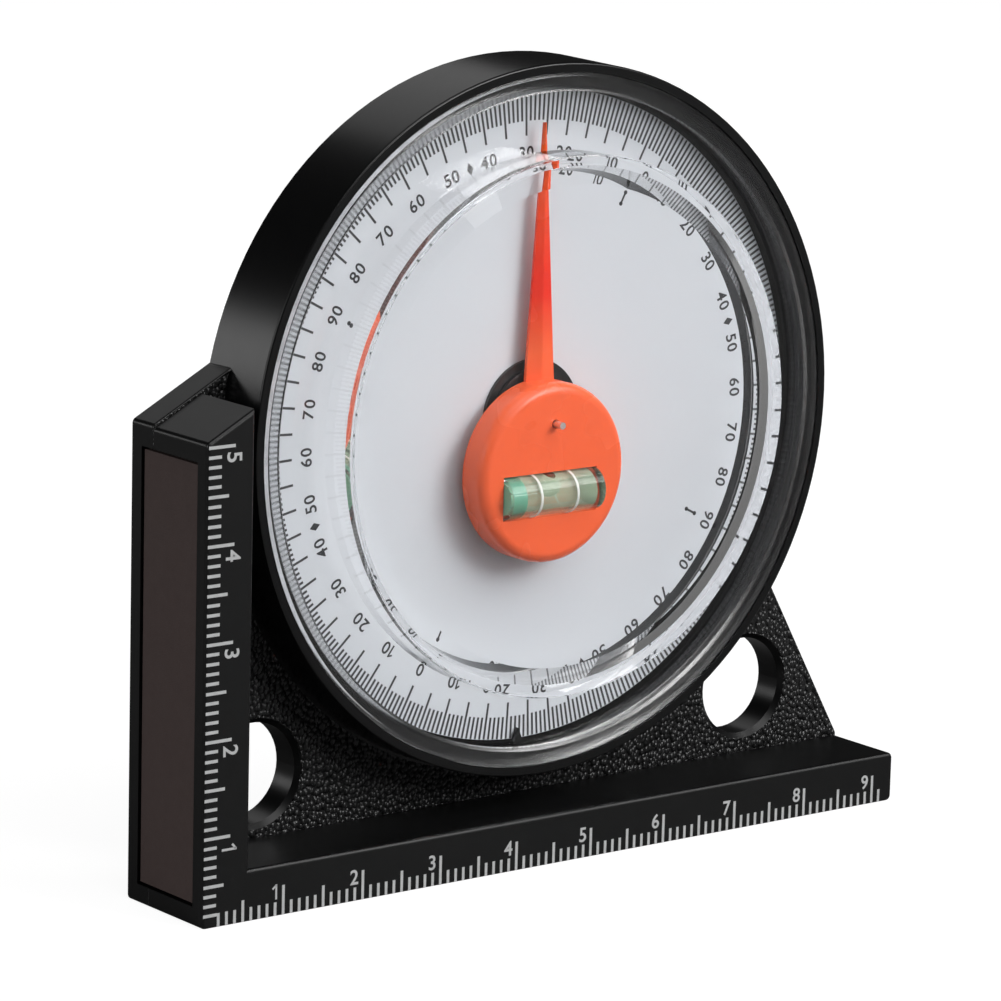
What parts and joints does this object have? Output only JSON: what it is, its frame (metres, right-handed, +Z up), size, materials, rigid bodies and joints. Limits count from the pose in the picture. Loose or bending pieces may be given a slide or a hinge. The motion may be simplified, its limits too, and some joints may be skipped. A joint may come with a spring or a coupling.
{
  "type": "inclinometer",
  "caption": "Black L-shaped magnetic-base slope gauge with a round clear-fronted dial, a free-hanging orange pendulum pointer and a small bubble level in its bob.",
  "frame": {"origin": "middle of the underside of the base bar, at half its length and half its depth", "axes": "+X along the base bar to the reader's right, +Y away from the reader towards the plain back, +Z up"},
  "size_m": [0.093, 0.0134, 0.0848],
  "materials": {
    "black_plastic": "satin moulded ABS, grained on the web",
    "magnet": "dark brown flexible magnetic strip",
    "clear_plastic": "clear polished acrylic",
    "white_plastic": "cool white disc with printed degree scale",
    "steel": "bright steel",
    "washer_rubber": "black rubber",
    "brass": "plain turned brass",
    "orange_plastic": "orange-red moulded plastic",
    "zinc": "grey die-cast zinc",
    "vial_clear": "clear tube",
    "mint_plastic": "mint green plug",
    "vial_green": "tinted liquid",
    "white_print": "white ring marks"
  },
  "bodies": {
    "housing": {"housing": "black_plastic", "side_magnet": "magnet", "base_magnet": "magnet", "lens": "clear_plastic"},
    "dial": {"dial": "white_plastic", "dial_hub": "black_plastic", "setting_knob": "black_plastic", "knob_screw": "steel", "friction_washer": "washer_rubber", "pivot_pin": "steel", "spacer_washer": "brass"},
    "pendulum": {"pendulum": "orange_plastic", "pivot_bush": "brass", "bob_back": "orange_plastic", "bob_weight": "zinc", "vial_tube": "vial_clear", "vial_plug": "mint_plastic", "vial_liquid": "vial_green", "vial_rings": "white_print"}
  },
  "joints": [
    {"name": "dial_turn", "type": "hinge", "parent": "housing", "child": "dial", "pos_m": [0, 0.0021, 0.0467], "axis": [0, 1, 0], "continuous": true},
    {"name": "pendulum_swing", "type": "hinge", "parent": "housing", "child": "pendulum", "pos_m": [0, -0.001, 0.0467], "axis": [0, 1, 0], "continuous": true}
  ]
}
